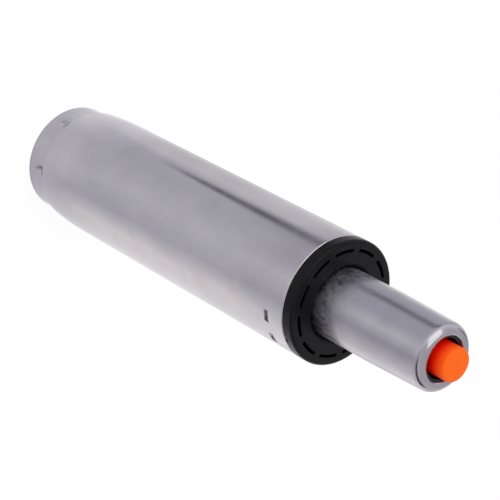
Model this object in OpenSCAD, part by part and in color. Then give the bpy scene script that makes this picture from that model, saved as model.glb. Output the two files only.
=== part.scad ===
// Chair gas lift cylinder, in millimetres, drawn fully lowered.
// +Z runs up the lift's axis and the foot of the column stands on z = 0.
// A steel column with a plastic guide bush holds a lockable gas spring upside down:
// its rod stands on a thrust bearing in the foot, and its pressure tube slides in the bush.
// Angles are counted from +X towards +Y.

/* [Column] */
// Outer diameter of the column tube
column_d = 50; // [48:0.5:54]
// Wall of the column tube
column_wall = 2; // [1.5:0.1:2.2]
// Length of the column tube from foot to rim
column_h = 167.2; // [140:0.2:194]
// How far the foot band is drawn in from the column's radius
foot_draw = 2.2; // [1.6:0.1:3]
// Height of the foot band
foot_band_h = 11.4; // [10.5:0.1:14]
// Height of the shoulder above the foot band
foot_step_h = 1; // [0.8:0.1:1.6]
// Radius missing at the start of the curved taper above the shoulder
foot_taper = 0.94; // [0.4:0.02:1.4]
// Height of the curved taper
foot_taper_h = 17.6; // [10:0.2:30]
// Rounding of the foot's lower edge
foot_edge_r = 0.7; // [0.3:0.1:1]
// Rounding of the column's upper rim
rim_edge_r = 0.5; // [0.2:0.1:0.7]

/* [Stake marks] */
// Number of punch marks around the foot band
stake_count = 6; // [3:1:8]
// Depth of a punch mark
stake_depth = 1.2; // [0.6:0.1:1.3]
// Height of the punch marks above the foot
stake_z = 7.5; // [6.5:0.1:8.5]

/* [Lances] */
// Angle of the pair of pressed-in tabs that shows
lance_a = 325.75; // [300:0.25:350]
// Angle between the two tabs of a pair
lance_pitch = 24.5; // [18:0.5:40]
// Angle that one tab covers
lance_arc = 11.5; // [7:0.5:14]
// Distance from the rim down to a tab's hinge line
lance_drop = 7.3; // [6.5:0.1:9]
// Length of a tab along the column
lance_len = 2.8; // [2:0.1:4]
// How far a tab's free end is pressed in
lance_in = 1.6; // [1:0.1:2]
// Slit around a tab
lance_slit = 0.25; // [0.1:0.05:0.4]

/* [Base plate] */
// Thickness of the base plate
plate_t = 4; // [3:0.25:4.5]
// Depth of the recess under the base plate
plate_inset = 5.5; // [5.2:0.1:6.5]
// Height of the ring that centres the bearing
plate_ring_h = 0.8; // [0.5:0.1:1.2]
// Width of the ring that centres the bearing
plate_ring_w = 2; // [1:0.25:3]
// Depth of the groove that the stake marks bite into
plate_groove = 0.6; // [0.3:0.1:1]

/* [Thrust bearing] */
// Thickness of a bearing race
race_t = 2; // [1.6:0.1:2.6]
// Outer diameter of the bearing races
race_d = 22; // [20:0.5:24]
// Ball diameter
ball_d = 3.2; // [2.6:0.1:3.4]
// Number of balls
ball_count = 10; // [6:1:12]
// Radius of the circle of ball centres
ball_ring_r = 7.8; // [7.4:0.1:8.2]
// Gap between the faces of the two races
race_gap = 1.6; // [1.4:0.1:2]
// Clearance between a ball and its groove
ball_gap = 0.08; // [0.04:0.02:0.12]
// Thickness of the ball cage
cage_t = 0.9; // [0.6:0.1:1]
// Width of the ball cage
cage_w = 5.4; // [4.6:0.1:5.6]

/* [Rod] */
// Diameter of the piston rod
rod_d = 10; // [9.6:0.2:11]
// Diameter of the rod's lower spigot
spigot_d = 8; // [7:0.25:8.5]
// Height of the rod's lower end above the foot
rod_end_z = 0.9; // [0.5:0.1:1.2]
// Chamfer of the rod's lower end
rod_chamfer = 0.6; // [0.3:0.1:0.9]
// Depth of the clip groove
clip_groove = 0.8; // [0.5:0.1:1]
// Thickness of the retaining clip
clip_t = 1.1; // [0.9:0.1:1.2]
// Width of the retaining clip's wire
clip_w = 3; // [2:0.25:3.5]
// Opening of the retaining clip
clip_open = 70; // [50:5:100]
// Thickness of the washer above the clip
keeper_t = 1.3; // [1:0.1:1.5]
// Outer diameter of the washer above the clip
keeper_d = 18; // [15:0.5:18.5]

/* [Bumper] */
// Thickness of the washer under the bumper
bumper_washer_t = 1.5; // [1:0.1:2]
// Outer diameter of the washer under the bumper
bumper_washer_d = 26; // [24:0.5:30]
// Height of the rubber bumper
bumper_h = 20; // [16:0.5:22]
// Outer diameter of the rubber bumper
bumper_d = 22; // [20:0.5:24]
// Depth of the bumper's waist
bumper_waist = 2; // [1:0.25:3]

/* [Pressure tube] */
// Outer diameter of the pressure tube
tube_d = 28; // [27:0.25:29]
// Wall of the pressure tube
tube_wall = 1.8; // [1.5:0.1:2]
// Length of the seat cone at the upper end
cone_h = 30; // [24:0.5:34]
// Half angle of the seat cone
cone_half_angle = 1.4378; // [1:0.0001:2]
// Outer radius of the rolled upper end
roll_r = 3.9; // [3:0.1:4.2]
// Width of the flat ring on the rolled upper end
end_flat = 0.05; // [0.02:0.01:0.5]
// Rounding of the upper end's hole
tube_lip_r = 0.8; // [0.4:0.1:1.2]
// Outer radius of the rolled lower end
lower_roll_r = 3; // [2.4:0.1:3.4]
// Width of the flat ring on the rolled lower end
lower_flat = 1.5; // [0.5:0.1:3]

/* [Guide bush] */
// Length of the guide bush inside the column
bush_len = 72.2; // [66:0.2:90]
// Thickness of the bush's flange
flange_h = 5.1; // [4:0.1:6]
// Rounding of the flange's front edge
flange_edge_r = 1; // [0.5:0.1:1.4]
// Wall of the bush's inner sleeve
sleeve_wall = 2.6; // [2:0.1:3.5]
// Length of the solid land under the flange
top_land_h = 15; // [13.5:0.5:18]
// Length of the land at the lower end
low_land_h = 4; // [3:0.5:6]
// Number of slots in the flange, and of ribs behind them
slot_count = 11; // [8:1:12]
// Angle of one slot's middle
slot_a = 281.7; // [270:0.1:300]
// Angle that one slot covers, between its round ends
slot_arc = 21; // [14:0.5:22]
// Width of a slot
slot_w = 1.2; // [0.8:0.1:1.6]
// Distance from the flange's edge to the middle of the slots
slot_inset = 4; // [3.4:0.1:5]
// Depth of a slot
slot_depth = 9; // [3:0.5:10]
// Thickness of a rib
rib_t = 1.6; // [1:0.1:2.4]
// Length of the guiding stretch at each end of the bore
bore_land_h = 18; // [10:1:24]
// Relief of the bore between those stretches
bore_relief = 0.4; // [0.2:0.1:0.8]
// Countersink at the mouth of the bore
bore_sink = 1.5; // [0.8:0.1:2]
// Angle of the key notch in the flange's side
notch_a = 329; // [320:1:336]
// Width of the key notch
notch_w = 1.8; // [1:0.1:3]
// Height of the key notch
notch_h = 1.4; // [0.8:0.1:2]
// Depth of the key notch
notch_depth = 0.7; // [0.4:0.1:1]

/* [Gas spring] */
// Travel of the pressure tube along the rod
stroke = 80; // [60:1:120]
// Space left under the piston at full travel
end_space = 2; // [1:0.5:3]
// Thickness of the washer at the lower end
end_washer_t = 2.5; // [2:0.25:3]
// Length of the rod guide
rod_guide_h = 10; // [8:0.5:11]
// Height of the rod seal
rod_seal_h = 6; // [5:0.25:7]
// Depth of the lip groove in the rod seal
lip_groove = 2.4; // [1.5:0.1:3]
// Thickness of the washer behind the rod seal
backing_t = 2; // [1.5:0.25:2.5]
// Height of the liner seat below the liner
seat_base_h = 5; // [4:0.25:6]
// Height of the spigots that centre the liner
nose_h = 5; // [4:0.25:6]
// Gap between the liner and the pressure tube, through which oil and gas pass
bypass_gap = 1.2; // [0.8:0.1:1.8]
// Wall of the liner
liner_wall = 1; // [0.8:0.05:1.2]
// Number of bypass channels in the liner seat
channel_count = 4; // [2:1:6]
// Width of a bypass channel
channel_w = 2; // [1.2:0.1:2.5]
// Depth of a bypass channel
channel_depth = 1; // [0.6:0.1:1.5]

/* [Piston] */
// Height of the piston
piston_h = 10; // [8:0.5:10.5]
// Diameter of the rod's upper stud
stud_d = 6; // [5:0.25:6.5]
// Section of the piston seal
piston_seal_d = 2; // [1.5:0.1:2.4]
// Thickness of the washer under the piston
piston_washer_t = 1.5; // [1:0.1:2]
// Outer diameter of the washer under the piston
piston_washer_d = 16; // [13:0.5:17]
// Height of the piston nut
nut_h = 4.5; // [3.5:0.25:5]
// Width of the nut across its flats
nut_af = 10; // [9:0.25:12]
// Length of the stud above the nut
stud_tip_h = 1; // [0.5:0.25:1.5]
// Space above the stud when the lift is lowered and the button pressed
valve_space = 7.1; // [2:0.1:30]

/* [Valve] */
// Height of the valve head, from the rolled end down to the valve body
head_h = 21; // [19:0.5:23]
// Depth of the recess around the button
recess_h = 10.5; // [10:0.25:11]
// How far the recess's wall stands inside the hole of the rolled end
recess_step = 0.6; // [0.3:0.05:1.2]
// Height of the valve body above the port chamber
body_h = 13.9; // [13:0.1:15]
// Height of the port chamber
chamber_h = 2.7; // [2.2:0.1:3.2]
// Diameter of the seal chamber around the pin
gland_d = 8.8; // [8:0.1:9.4]
// Length of the spacer between the pin seals
spacer_h = 7.5; // [6.5:0.25:8]
// Section of the pin seals
pin_seal_d = 1.8; // [1.6:0.1:1.9]
// Thickness of the wall below the seal chamber
nose_floor_t = 1.8; // [1.2:0.1:2.2]
// Section of the seal between the valve body and the pressure tube
body_seal_d = 1.6; // [1.2:0.1:2]
// Section of the seal between the valve body and the liner
liner_seal_d = 1.4; // [1:0.1:1.6]
// Diameter of the bypass ports
port_d = 1.6; // [1:0.1:1.8]
// Number of bypass ports
port_count = 4; // [2:1:6]
// Diameter of the valve pin
pin_d = 5; // [4.5:0.1:5.2]
// Diameter of the valve pin's waist
waist_d = 3.2; // [2.4:0.1:3.6]
// Length of the valve pin's waist
waist_h = 5.2; // [4.6:0.1:5.6]
// Diameter of the valve pin's head
pin_head_d = 8; // [7:0.25:9]
// Height of the valve pin's head
pin_head_h = 2.4; // [1.6:0.2:2.8]

/* [Button] */
// Gap between the release button and the recess's wall
button_gap = 1.4; // [0.8:0.1:2]
// How far the button stands out of the pressure tube
button_show = 5; // [4.4:0.1:7]
// Rounding of the button's upper edge
button_edge_r = 1.2; // [0.6:0.1:1.6]
// Travel of the button
button_travel = 4; // [3:0.1:4]
// Height of the collar at the button's lower end
collar_h = 1.4; // [1:0.1:1.8]
// Gap between that collar and the recess's wall
collar_gap = 0.5; // [0.2:0.05:0.7]
// Thickness of the button above the pin
button_cap_t = 6.5; // [5:0.25:7]

/* [Clearances] */
// Radial clearance of pieces that sit in each other
seat_gap = 0.05; // [0.03:0.01:0.08]
// Radial clearance of pieces that run in each other
run_gap = 0.05; // [0.03:0.01:0.08]
// Clearance around the spigot where it passes the fixed pieces
pass_gap = 0.3; // [0.2:0.05:0.4]
// Axial clearance between pieces that turn on each other
turn_gap = 0.1; // [0.05:0.05:0.2]
// Gap left between the lowered tube and the bumper
rest_gap = 0.3; // [0.2:0.05:0.5]

/* [Hidden] */
$fn = 96;
eps = 0.5;

// Column radii
column_r = column_d / 2;
column_ri = column_r - column_wall;
foot_r = column_r - foot_draw;
foot_ri = foot_r - column_wall;
taper_z0 = foot_band_h + foot_step_h;
taper_z1 = taper_z0 + foot_taper_h;
// The inner shoulder lies higher than the outer one, so the wall keeps its thickness there
shoulder_lift = column_wall * 0.35;

// Heights of the base plate, the bearing and the bumper, from the foot up
plate_z1 = plate_inset + plate_t;
ball_z = plate_z1 + race_t + race_gap / 2;
upper_race_z = plate_z1 + race_t + race_gap;
bumper_washer_z = upper_race_z + race_t;
rod_shoulder_z = bumper_washer_z + bumper_washer_t;
bumper_z1 = rod_shoulder_z + bumper_h;
keeper_z = plate_inset - turn_gap - keeper_t;
clip_z = keeper_z - turn_gap - clip_t;

// Pressure tube, from its lower end up through the gas spring's lower stack
tube_r = tube_d / 2;
tube_ri = tube_r - tube_wall;
tube_z0 = bumper_z1 + rest_gap;
end_washer_z = tube_z0 + tube_wall + seat_gap;
rod_guide_z = end_washer_z + end_washer_t;
rod_seal_z = rod_guide_z + rod_guide_h;
backing_z = rod_seal_z + rod_seal_h;
seat_z = backing_z + backing_t;
liner_z0 = seat_z + seat_base_h;
stack_r = tube_ri - seat_gap;
low_roll_x = tube_r - lower_roll_r;
lower_hole_r = low_roll_x - lower_flat;
lower_corner_r = lower_roll_r - tube_wall;

// Piston, a stroke above the liner seat
rod_r = rod_d / 2;
stud_r = stud_d / 2;
liner_r = tube_ri - bypass_gap;
liner_ri = liner_r - liner_wall;
piston_washer_z = liner_z0 + nose_h + end_space + stroke;
piston_z = piston_washer_z + piston_washer_t;
nut_z = piston_z + piston_h;
stud_z1 = nut_z + nut_h + stud_tip_h;
piston_r = liner_ri - run_gap;

// Valve, above the piston's highest place in the liner
pin_r = pin_d / 2;
gland_r = gland_d / 2;
pin_head_z = stud_z1 + valve_space + button_travel;
nose_z = pin_head_z + pin_head_h + turn_gap;
liner_z1 = nose_z + nose_h;
body_z0 = liner_z1 + chamber_h;
head_z0 = body_z0 + body_h;
head_z1 = head_z0 + head_h;
recess_z = head_z1 - recess_h;
low_seal_z = nose_z + nose_floor_t;
spacer_z = low_seal_z + pin_seal_d + 2 * seat_gap;
high_seal_z = spacer_z + spacer_h;
gland_z = high_seal_z + pin_seal_d + 2 * seat_gap;
port_z = body_z0 - chamber_h / 2;
waist_z = port_z - waist_h / 2;

// Rolled upper end, seat cone and the hole around the button
ceiling_z = head_z1 + seat_gap;
tube_z1 = ceiling_z + tube_wall;
cone_z0 = tube_z1 - cone_h;
roll_z = tube_z1 - roll_r;
roll_x = tube_r - (roll_z - cone_z0) * tan(cone_half_angle) - roll_r;
corner_r = roll_r - tube_wall;
tube_hole_r = roll_x - end_flat - tube_lip_r;
recess_r = tube_hole_r - recess_step;

// Button
button_r = recess_r - button_gap;
collar_r = recess_r - collar_gap;
button_z1 = tube_z1 + button_show;
button_z0 = recess_z + button_travel + 2 * turn_gap;
pin_z1 = button_z1 - button_cap_t;

// Guide bush
bush_z0 = column_h - bush_len;
flange_z1 = column_h + flange_h;
bore_r = tube_r + run_gap;
sleeve_r = bore_r + sleeve_wall;
land_r = column_ri - seat_gap;
slot_pitch = 360 / slot_count;
slot_ring_r = column_r - slot_inset;
lance_z1 = column_h - lance_drop;
lance_z0 = lance_z1 - lance_len;

// Points of an arc around [x, y], from angle a0 to angle a1
function arc(x, y, r, a0, a1, steps = 10) =
    [for (i = [0:steps]) let (a = a0 + (a1 - a0) * i / steps) [x + r * cos(a), y + r * sin(a)]];

// The column's curved taper: radius missing at a height, nought where the straight tube starts
function taper_at(z) = foot_taper * pow((taper_z1 - z) / foot_taper_h, 2);

// Inner radius of the pressure tube, straight up to the seat cone
function tube_ri_at(z) = tube_ri - max(0, z - cone_z0) * tan(cone_half_angle);

// A flat ring standing on height z
module ring(z, inner_r, outer_r, h) {
    translate([0, 0, z])
        rotate_extrude()
            translate([inner_r, 0]) square([outer_r - inner_r, h]);
}

// A round-section ring whose centre circle lies at height z
module o_ring(z, centre_r, section_d) {
    translate([0, 0, z])
        rotate_extrude()
            translate([centre_r, 0]) circle(d = section_d, $fn = 32);
}

// A sector of a ring between two angles, for windows and slots
module sector(z, inner_r, outer_r, h, a0, a1) {
    translate([0, 0, z])
        rotate_extrude(angle = a1 - a0, start = a0)
            translate([inner_r, 0]) square([outer_r - inner_r, h]);
}

// Column side: the tube, its base plate and the guide bush

// Wall of the column: foot band, shoulder, curved taper and straight tube
module column_wall_outline() {
    steps = 10;
    up = [for (i = [0:steps]) taper_z0 + foot_taper_h * i / steps];
    down = [for (i = [steps:-1:0]) taper_z0 + foot_taper_h * i / steps];
    polygon(concat(
        arc(foot_r - foot_edge_r, foot_edge_r, foot_edge_r, -90, 0, 5),
        [[foot_r, foot_band_h]],
        [for (z = up) [column_r - taper_at(z), z]],
        arc(column_r - rim_edge_r, column_h - rim_edge_r, rim_edge_r, 0, 90, 5),
        [[column_ri, column_h]],
        [for (z = down) [column_ri - taper_at(z), z + shoulder_lift]],
        [[foot_ri, foot_band_h + shoulder_lift], [foot_ri, 0]]
    ));
}

// One pressed-in tab: a piece of the wall that leans inwards from its hinge line
module lance_tab(a) {
    hold = 0.4;
    rotate_extrude(angle = lance_arc - 2 * lance_slit, start = a - lance_arc / 2 + lance_slit)
        polygon([
            [column_ri + hold, lance_z1 + hold],
            [column_r - hold, lance_z1 + hold],
            [column_r, lance_z1],
            [column_r - lance_in, lance_z0 + lance_slit],
            [column_ri - lance_in, lance_z0 + lance_slit],
            [column_ri, lance_z1]
        ]);
}

// A three-sided punch mark: a cube's corner, its diagonal radial, pushed into the foot band
module stake_mark(a) {
    side = 4;
    rotate([0, 0, a])
        translate([foot_r - stake_depth, 0, stake_z])
            rotate([0, atan(1 / sqrt(2)), 0])
                rotate([0, 0, -45])
                    cube(side);
}

module column_tube() {
    lance_angles = [for (side = [0, 180], s = [-1, 1]) lance_a + side + s * lance_pitch / 2];
    color("#a9a9b1") {
        difference() {
            rotate_extrude() column_wall_outline();
            for (a = lance_angles)
                sector(lance_z0, column_ri - eps, column_r + eps, lance_len,
                       a - lance_arc / 2, a + lance_arc / 2);
            for (i = [0:stake_count - 1])
                stake_mark(i * 360 / stake_count);
        }
        for (a = lance_angles)
            lance_tab(a);
    }
}

// Disc staked into the foot band, with a raised ring that centres the bearing
module base_plate() {
    plate_r = foot_ri - seat_gap;
    groove_h = plate_groove * 2;
    hole_r = spigot_d / 2 + pass_gap;
    race_r = race_d / 2;
    color("#8f8f94")
        rotate_extrude()
            polygon([
                [hole_r, plate_inset],
                [plate_r, plate_inset],
                [plate_r, stake_z - groove_h / 2],
                [plate_r - plate_groove, stake_z],
                [plate_r, stake_z + groove_h / 2],
                [plate_r, plate_z1],
                [race_r + seat_gap + plate_ring_w, plate_z1],
                [race_r + seat_gap + plate_ring_w, plate_z1 + plate_ring_h],
                [race_r + seat_gap, plate_z1 + plate_ring_h],
                [race_r + seat_gap, plate_z1],
                [hole_r, plate_z1]
            ]);
}

// Body of the bush in section: flange, inner sleeve and the lands that fill the column
module bush_outline() {
    difference() {
        union() {
            translate([bore_r, bush_z0]) square([sleeve_wall, bush_len]);
            translate([bore_r, bush_z0]) square([land_r - bore_r, low_land_h]);
            translate([bore_r, column_h - top_land_h])
                square([land_r - bore_r, top_land_h]);
            polygon(concat(
                [[bore_r, column_h], [column_r, column_h]],
                arc(column_r - flange_edge_r, flange_z1 - flange_edge_r, flange_edge_r, 0, 90, 6),
                [[bore_r + bore_sink, flange_z1], [bore_r, flange_z1 - bore_sink]]
            ));
        }
        // Relief between the two guiding stretches of the bore
        polygon([
            [bore_r - eps, bush_z0 + bore_land_h],
            [bore_r, bush_z0 + bore_land_h],
            [bore_r + bore_relief, bush_z0 + bore_land_h + bore_relief],
            [bore_r + bore_relief, flange_z1 - bore_land_h - bore_relief],
            [bore_r, flange_z1 - bore_land_h],
            [bore_r - eps, flange_z1 - bore_land_h]
        ]);
        // Groove that the pressed-in tabs reach into
        translate([column_ri - lance_in - lance_slit, lance_z0 - lance_slit])
            square([column_wall + lance_in + eps, lance_len + 2 * lance_slit]);
    }
}

// One curved slot in the flange's front face: two arcs joined by round ends
module flange_slot(a) {
    half_w = slot_w / 2;
    a0 = a - slot_arc / 2;
    a1 = a + slot_arc / 2;
    translate([0, 0, flange_z1 - slot_depth])
        linear_extrude(slot_depth + eps)
            polygon(concat(
                arc(0, 0, slot_ring_r + half_w, a0, a1, 8),
                arc(slot_ring_r * cos(a1), slot_ring_r * sin(a1), half_w, a1 + 45, a1 + 135, 2),
                arc(0, 0, slot_ring_r - half_w, a1, a0, 8),
                arc(slot_ring_r * cos(a0), slot_ring_r * sin(a0), half_w, a0 - 135, a0 - 45, 2)
            ));
}

module guide_bush() {
    rib_z0 = bush_z0 + low_land_h - eps;
    rib_z1 = column_h - top_land_h + eps;
    color("#232326")
        difference() {
            union() {
                rotate_extrude() bush_outline();
                for (i = [0:slot_count - 1])
                    rotate([0, 0, slot_a + (i + 0.5) * slot_pitch])
                        translate([sleeve_r - eps, -rib_t / 2, rib_z0])
                            cube([land_r - 2 * seat_gap - sleeve_r + eps, rib_t, rib_z1 - rib_z0]);
            }
            for (i = [0:slot_count - 1])
                flange_slot(slot_a + i * slot_pitch);
            rotate([0, 0, notch_a])
                translate([column_r - notch_depth, -notch_w / 2, column_h - eps])
                    cube([column_wall, notch_w, notch_h + eps]);
        }
}

// Thrust bearing in the foot

// A race with a ball groove around height groove_z
module race(z, inner_r) {
    groove_r = ball_d / 2 + ball_gap;
    rotate_extrude()
        difference() {
            translate([inner_r, z]) square([race_d / 2 - inner_r, race_t]);
            translate([ball_ring_r, ball_z]) circle(r = groove_r, $fn = 64);
        }
}

module bearing_lower_race() {
    color("#b9b9bd") race(plate_z1, spigot_d / 2 + pass_gap);
}

module bearing_upper_race() {
    color("#b9b9bd") race(upper_race_z, spigot_d / 2 + seat_gap);
}

// Flat cage with one pocket for each ball
module ball_cage() {
    color("#c2a14a")
        difference() {
            ring(ball_z - cage_t / 2, ball_ring_r - cage_w / 2, ball_ring_r + cage_w / 2, cage_t);
            for (i = [0:ball_count - 1])
                rotate([0, 0, i * 360 / ball_count])
                    translate([ball_ring_r, 0, ball_z - cage_t])
                        cylinder(r = ball_d / 2 + ball_gap, h = 2 * cage_t, $fn = 48);
        }
}

module bearing_balls() {
    color("#d4d4d8")
        for (i = [0:ball_count - 1])
            rotate([0, 0, i * 360 / ball_count])
                translate([ball_ring_r, 0, ball_z]) sphere(d = ball_d, $fn = 48);
}

// Rod and what it carries

// Stepped rod: spigot with a clip groove, rod, and a stud for the piston
module piston_rod() {
    spigot_r = spigot_d / 2;
    groove_z0 = clip_z - turn_gap / 2;
    groove_z1 = clip_z + clip_t + turn_gap / 2;
    color("#cfcfd4")
        rotate_extrude()
            polygon([
                [0, rod_end_z],
                [spigot_r - rod_chamfer, rod_end_z],
                [spigot_r, rod_end_z + rod_chamfer],
                [spigot_r, groove_z0],
                [spigot_r - clip_groove, groove_z0],
                [spigot_r - clip_groove, groove_z1],
                [spigot_r, groove_z1],
                [spigot_r, rod_shoulder_z],
                [rod_r, rod_shoulder_z],
                [rod_r, piston_washer_z],
                [stud_r, piston_washer_z],
                [stud_r, stud_z1 - rod_chamfer],
                [stud_r - rod_chamfer, stud_z1],
                [0, stud_z1]
            ]);
}

module bumper_washer() {
    color("#9a9aa0")
        ring(bumper_washer_z, spigot_d / 2 + seat_gap, bumper_washer_d / 2, bumper_washer_t);
}

// Rubber bumper with a drawn-in waist that lets it fold as it is pressed
module bumper() {
    r = bumper_d / 2;
    edge = 1;
    steps = 16;
    waist = [for (i = [0:steps])
        let (t = i / steps)
            [r - bumper_waist * pow(sin(180 * t), 2),
             rod_shoulder_z + edge + (bumper_h - 2 * edge) * t]];
    color("#1d1d1f")
        rotate_extrude()
            polygon(concat(
                [[rod_r + seat_gap, rod_shoulder_z], [r - edge, rod_shoulder_z]],
                waist,
                [[r - edge, bumper_z1], [rod_r + seat_gap, bumper_z1]]
            ));
}

module retaining_washer() {
    color("#9a9aa0") ring(keeper_z, spigot_d / 2 + seat_gap, keeper_d / 2, keeper_t);
}

// Open clip that snaps into the rod's groove
module retaining_clip() {
    inner_r = spigot_d / 2 - clip_groove + seat_gap;
    color("#6d6d72")
        sector(clip_z, inner_r, inner_r + clip_w, clip_t, clip_open / 2, 360 - clip_open / 2);
}

module piston_washer() {
    color("#9a9aa0") ring(piston_washer_z, stud_r + seat_gap, piston_washer_d / 2, piston_washer_t);
}

// Piston with a seal groove around its middle
module piston() {
    groove_z = piston_z + piston_h / 2;
    groove_half = piston_seal_d / 2 + seat_gap;
    groove_r = piston_r - piston_seal_d;
    chamfer = 0.6;
    color("#b58a4a")
        rotate_extrude()
            polygon([
                [stud_r + seat_gap, piston_z],
                [piston_r - chamfer, piston_z],
                [piston_r, piston_z + chamfer],
                [piston_r, groove_z - groove_half],
                [groove_r, groove_z - groove_half],
                [groove_r, groove_z + groove_half],
                [piston_r, groove_z + groove_half],
                [piston_r, piston_z + piston_h - chamfer],
                [piston_r - chamfer, piston_z + piston_h],
                [stud_r + seat_gap, piston_z + piston_h]
            ]);
}

module piston_seal() {
    color("#2b2b2e") o_ring(piston_z + piston_h / 2, piston_r - piston_seal_d / 2, piston_seal_d);
}

module piston_nut() {
    color("#a5a5aa")
        difference() {
            translate([0, 0, nut_z]) cylinder(d = nut_af / cos(30), h = nut_h, $fn = 6);
            translate([0, 0, nut_z - eps]) cylinder(r = stud_r + seat_gap, h = nut_h + 2 * eps);
        }
}

// Gas spring: pressure tube, stack at its lower end, liner and valve

// Wall of the pressure tube: rolled lower end, straight tube, seat cone, rolled upper end
module tube_wall_outline() {
    low_z = tube_z0 + lower_roll_r;
    polygon(concat(
        arc(low_roll_x, low_z, lower_roll_r, -90, 0, 8),
        [[tube_r, cone_z0]],
        arc(roll_x, roll_z, roll_r, 0, 90, 12),
        arc(tube_hole_r + tube_lip_r, tube_z1 - tube_lip_r, tube_lip_r, 90, 180, 5),
        [[tube_hole_r, ceiling_z]],
        arc(roll_x, roll_z, corner_r, 90, 0, 8),
        [[tube_ri, cone_z0]],
        arc(low_roll_x, low_z, lower_corner_r, 0, -90, 6),
        [[lower_hole_r, tube_z0 + tube_wall], [lower_hole_r, tube_z0]]
    ));
}

module pressure_tube() {
    color("#94949d") rotate_extrude() tube_wall_outline();
}

// Washer that the rolled lower end holds, with its corner rounded to suit
module end_washer() {
    color("#9a9aa0")
        rotate_extrude()
            polygon(concat(
                [[rod_r + pass_gap, end_washer_z]],
                arc(low_roll_x, end_washer_z + lower_corner_r, lower_corner_r - seat_gap, -90, 0, 6),
                [[stack_r, end_washer_z + end_washer_t],
                 [rod_r + pass_gap, end_washer_z + end_washer_t]]
            ));
}

module rod_guide() {
    color("#c9a25c") ring(rod_guide_z, rod_r + run_gap, stack_r, rod_guide_h);
}

// Lip seal: a ring whose upper face is grooved so the gas spreads its lips
module rod_seal() {
    lip_t = 1.4;
    color("#2b2b2e")
        rotate_extrude()
            difference() {
                translate([rod_r + run_gap, rod_seal_z])
                    square([stack_r - rod_r - run_gap, rod_seal_h]);
                polygon([
                    [rod_r + run_gap + lip_t, rod_seal_z + rod_seal_h + eps],
                    [rod_r + run_gap + 2 * lip_t, rod_seal_z + rod_seal_h - lip_groove],
                    [stack_r - 2 * lip_t, rod_seal_z + rod_seal_h - lip_groove],
                    [stack_r - lip_t, rod_seal_z + rod_seal_h + eps]
                ]);
            }
}

module seal_backing_washer() {
    color("#9a9aa0") ring(backing_z, rod_r + pass_gap, stack_r, backing_t);
}

// Seat for the liner, with channels that let oil and gas pass under its end
module liner_seat() {
    nose_r = liner_ri - seat_gap;
    color("#3a3a3e")
        difference() {
            union() {
                ring(seat_z, rod_r + run_gap, stack_r, seat_base_h);
                ring(seat_z, rod_r + run_gap, nose_r, seat_base_h + nose_h);
            }
            for (i = [0:channel_count - 1])
                rotate([0, 0, i * 360 / channel_count])
                    translate([nose_r - channel_depth, -channel_w / 2, liner_z0 - channel_depth])
                        cube([tube_ri, channel_w, nose_h + 2 * channel_depth]);
        }
}

module cylinder_liner() {
    color("#b0b0b6") ring(liner_z0, liner_ri, liner_r, liner_z1 - liner_z0);
}

// Lower part of the valve: nose in the liner, port chamber, and a sealed collar
module valve_body() {
    nose_r = liner_ri - seat_gap;
    collar_r = tube_ri - seat_gap;
    body_groove_z = body_z0 + body_h * 0.4;
    body_groove_half = body_seal_d / 2 + seat_gap;
    nose_groove_z = nose_z + nose_h * 0.55;
    nose_groove_half = liner_seal_d / 2 + seat_gap;
    color("#b7b7bc")
        difference() {
            rotate_extrude()
                polygon([
                    [pin_r + run_gap, nose_z],
                    [nose_r, nose_z],
                    [nose_r, nose_groove_z - nose_groove_half],
                    [nose_r - liner_seal_d, nose_groove_z - nose_groove_half],
                    [nose_r - liner_seal_d, nose_groove_z + nose_groove_half],
                    [nose_r, nose_groove_z + nose_groove_half],
                    [nose_r, liner_z1],
                    [liner_r, liner_z1],
                    [liner_r, body_z0],
                    [collar_r, body_z0],
                    [collar_r, body_groove_z - body_groove_half],
                    [collar_r - body_seal_d, body_groove_z - body_groove_half],
                    [collar_r - body_seal_d, body_groove_z + body_groove_half],
                    [tube_ri_at(body_groove_z + body_groove_half) - seat_gap,
                     body_groove_z + body_groove_half],
                    [tube_ri_at(cone_z0) - seat_gap, max(cone_z0, body_groove_z + 2 * body_groove_half)],
                    [tube_ri_at(head_z0) - seat_gap, head_z0],
                    [gland_r, head_z0],
                    [gland_r, low_seal_z],
                    [pin_r + run_gap, low_seal_z]
                ]);
            for (i = [0:port_count - 1])
                rotate([0, 0, i * 360 / port_count])
                    translate([gland_r - eps, 0, port_z])
                        rotate([0, 90, 0]) cylinder(d = port_d, h = liner_r, $fn = 24);
        }
}

// Upper part of the valve: fills the cone under the rolled end and holds the button's recess
module valve_head() {
    color("#57575c")
        rotate_extrude()
            polygon(concat(
                [[pin_r + run_gap, head_z0], [tube_ri_at(head_z0) - seat_gap, head_z0]],
                arc(roll_x, roll_z, corner_r - seat_gap, 0, 90, 8),
                [[recess_r, head_z1], [recess_r, recess_z], [pin_r + run_gap, recess_z]]
            ));
}

// Sleeve that holds the pin seals down
module valve_gland() {
    color("#8c8c91") ring(gland_z, pin_r + run_gap, gland_r - seat_gap, head_z0 - gland_z);
}

// Spacer between the pin seals, cross-drilled in line with the ports
module valve_spacer() {
    color("#c9a25c")
        difference() {
            ring(spacer_z, pin_r + run_gap, gland_r - seat_gap, spacer_h);
            for (i = [0:port_count - 1])
                rotate([0, 0, i * 360 / port_count])
                    translate([0, 0, port_z])
                        rotate([0, 90, 0]) cylinder(d = port_d, h = gland_r, $fn = 24);
        }
}

// The two pin seals
module valve_pin_seals() {
    centre_r = pin_r + run_gap + pin_seal_d / 2;
    color("#2b2b2e")
        for (z = [low_seal_z, high_seal_z])
            o_ring(z + pin_seal_d / 2 + seat_gap, centre_r, pin_seal_d);
}

module valve_body_seal() {
    color("#2b2b2e")
        o_ring(body_z0 + body_h * 0.4, tube_ri - seat_gap - body_seal_d / 2, body_seal_d);
}

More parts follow.
